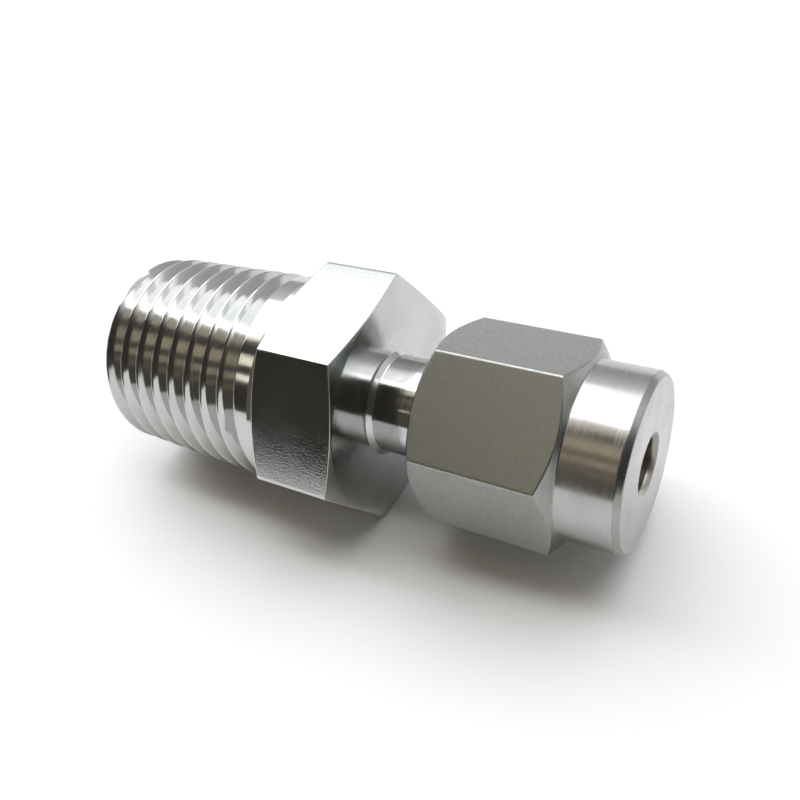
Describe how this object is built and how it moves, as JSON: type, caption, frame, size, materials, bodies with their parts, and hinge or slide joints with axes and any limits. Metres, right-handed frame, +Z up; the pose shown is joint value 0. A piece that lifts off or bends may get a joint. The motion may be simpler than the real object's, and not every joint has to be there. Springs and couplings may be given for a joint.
{
  "type": "compression tube connector",
  "caption": "Straight steel tube fitting: tapered male pipe thread, hexagon body, and a coupling nut that squeezes ferrules onto a small tube.",
  "frame": {"origin": "half way along the common axis, at the level of the body hexagon's lower flat, which the part lies on", "axes": "+X along the common axis from the pipe thread towards the tube opening, +Z up"},
  "size_m": [0.0354, 0.0164, 0.0143],
  "materials": {
    "body_steel": "bright turned and polished stainless steel",
    "ferrule_steel": "fine turned stainless steel",
    "nut_steel": "tumbled stainless steel, satin on the round collar"
  },
  "bodies": {
    "body": {"connector_body": "body_steel"},
    "ferrules": {"front_ferrule": "ferrule_steel", "back_ferrule": "ferrule_steel"},
    "nut": {"coupling_nut": "nut_steel"}
  },
  "joints": [
    {"name": "nut_advance", "type": "slide", "parent": "body", "child": "ferrules", "axis": [1, 0, 0], "range_m": [0, 0.0046]},
    {"name": "nut_turn", "type": "hinge", "parent": "ferrules", "child": "nut", "pos_m": [0.0119, 0, 0.00714], "axis": [1, 0, 0], "range_deg": [0, 1300]}
  ],
  "couplings": [
    {"joint": "nut_advance", "follows": "nut_turn", "m_per_rad": 0.00020213}
  ]
}
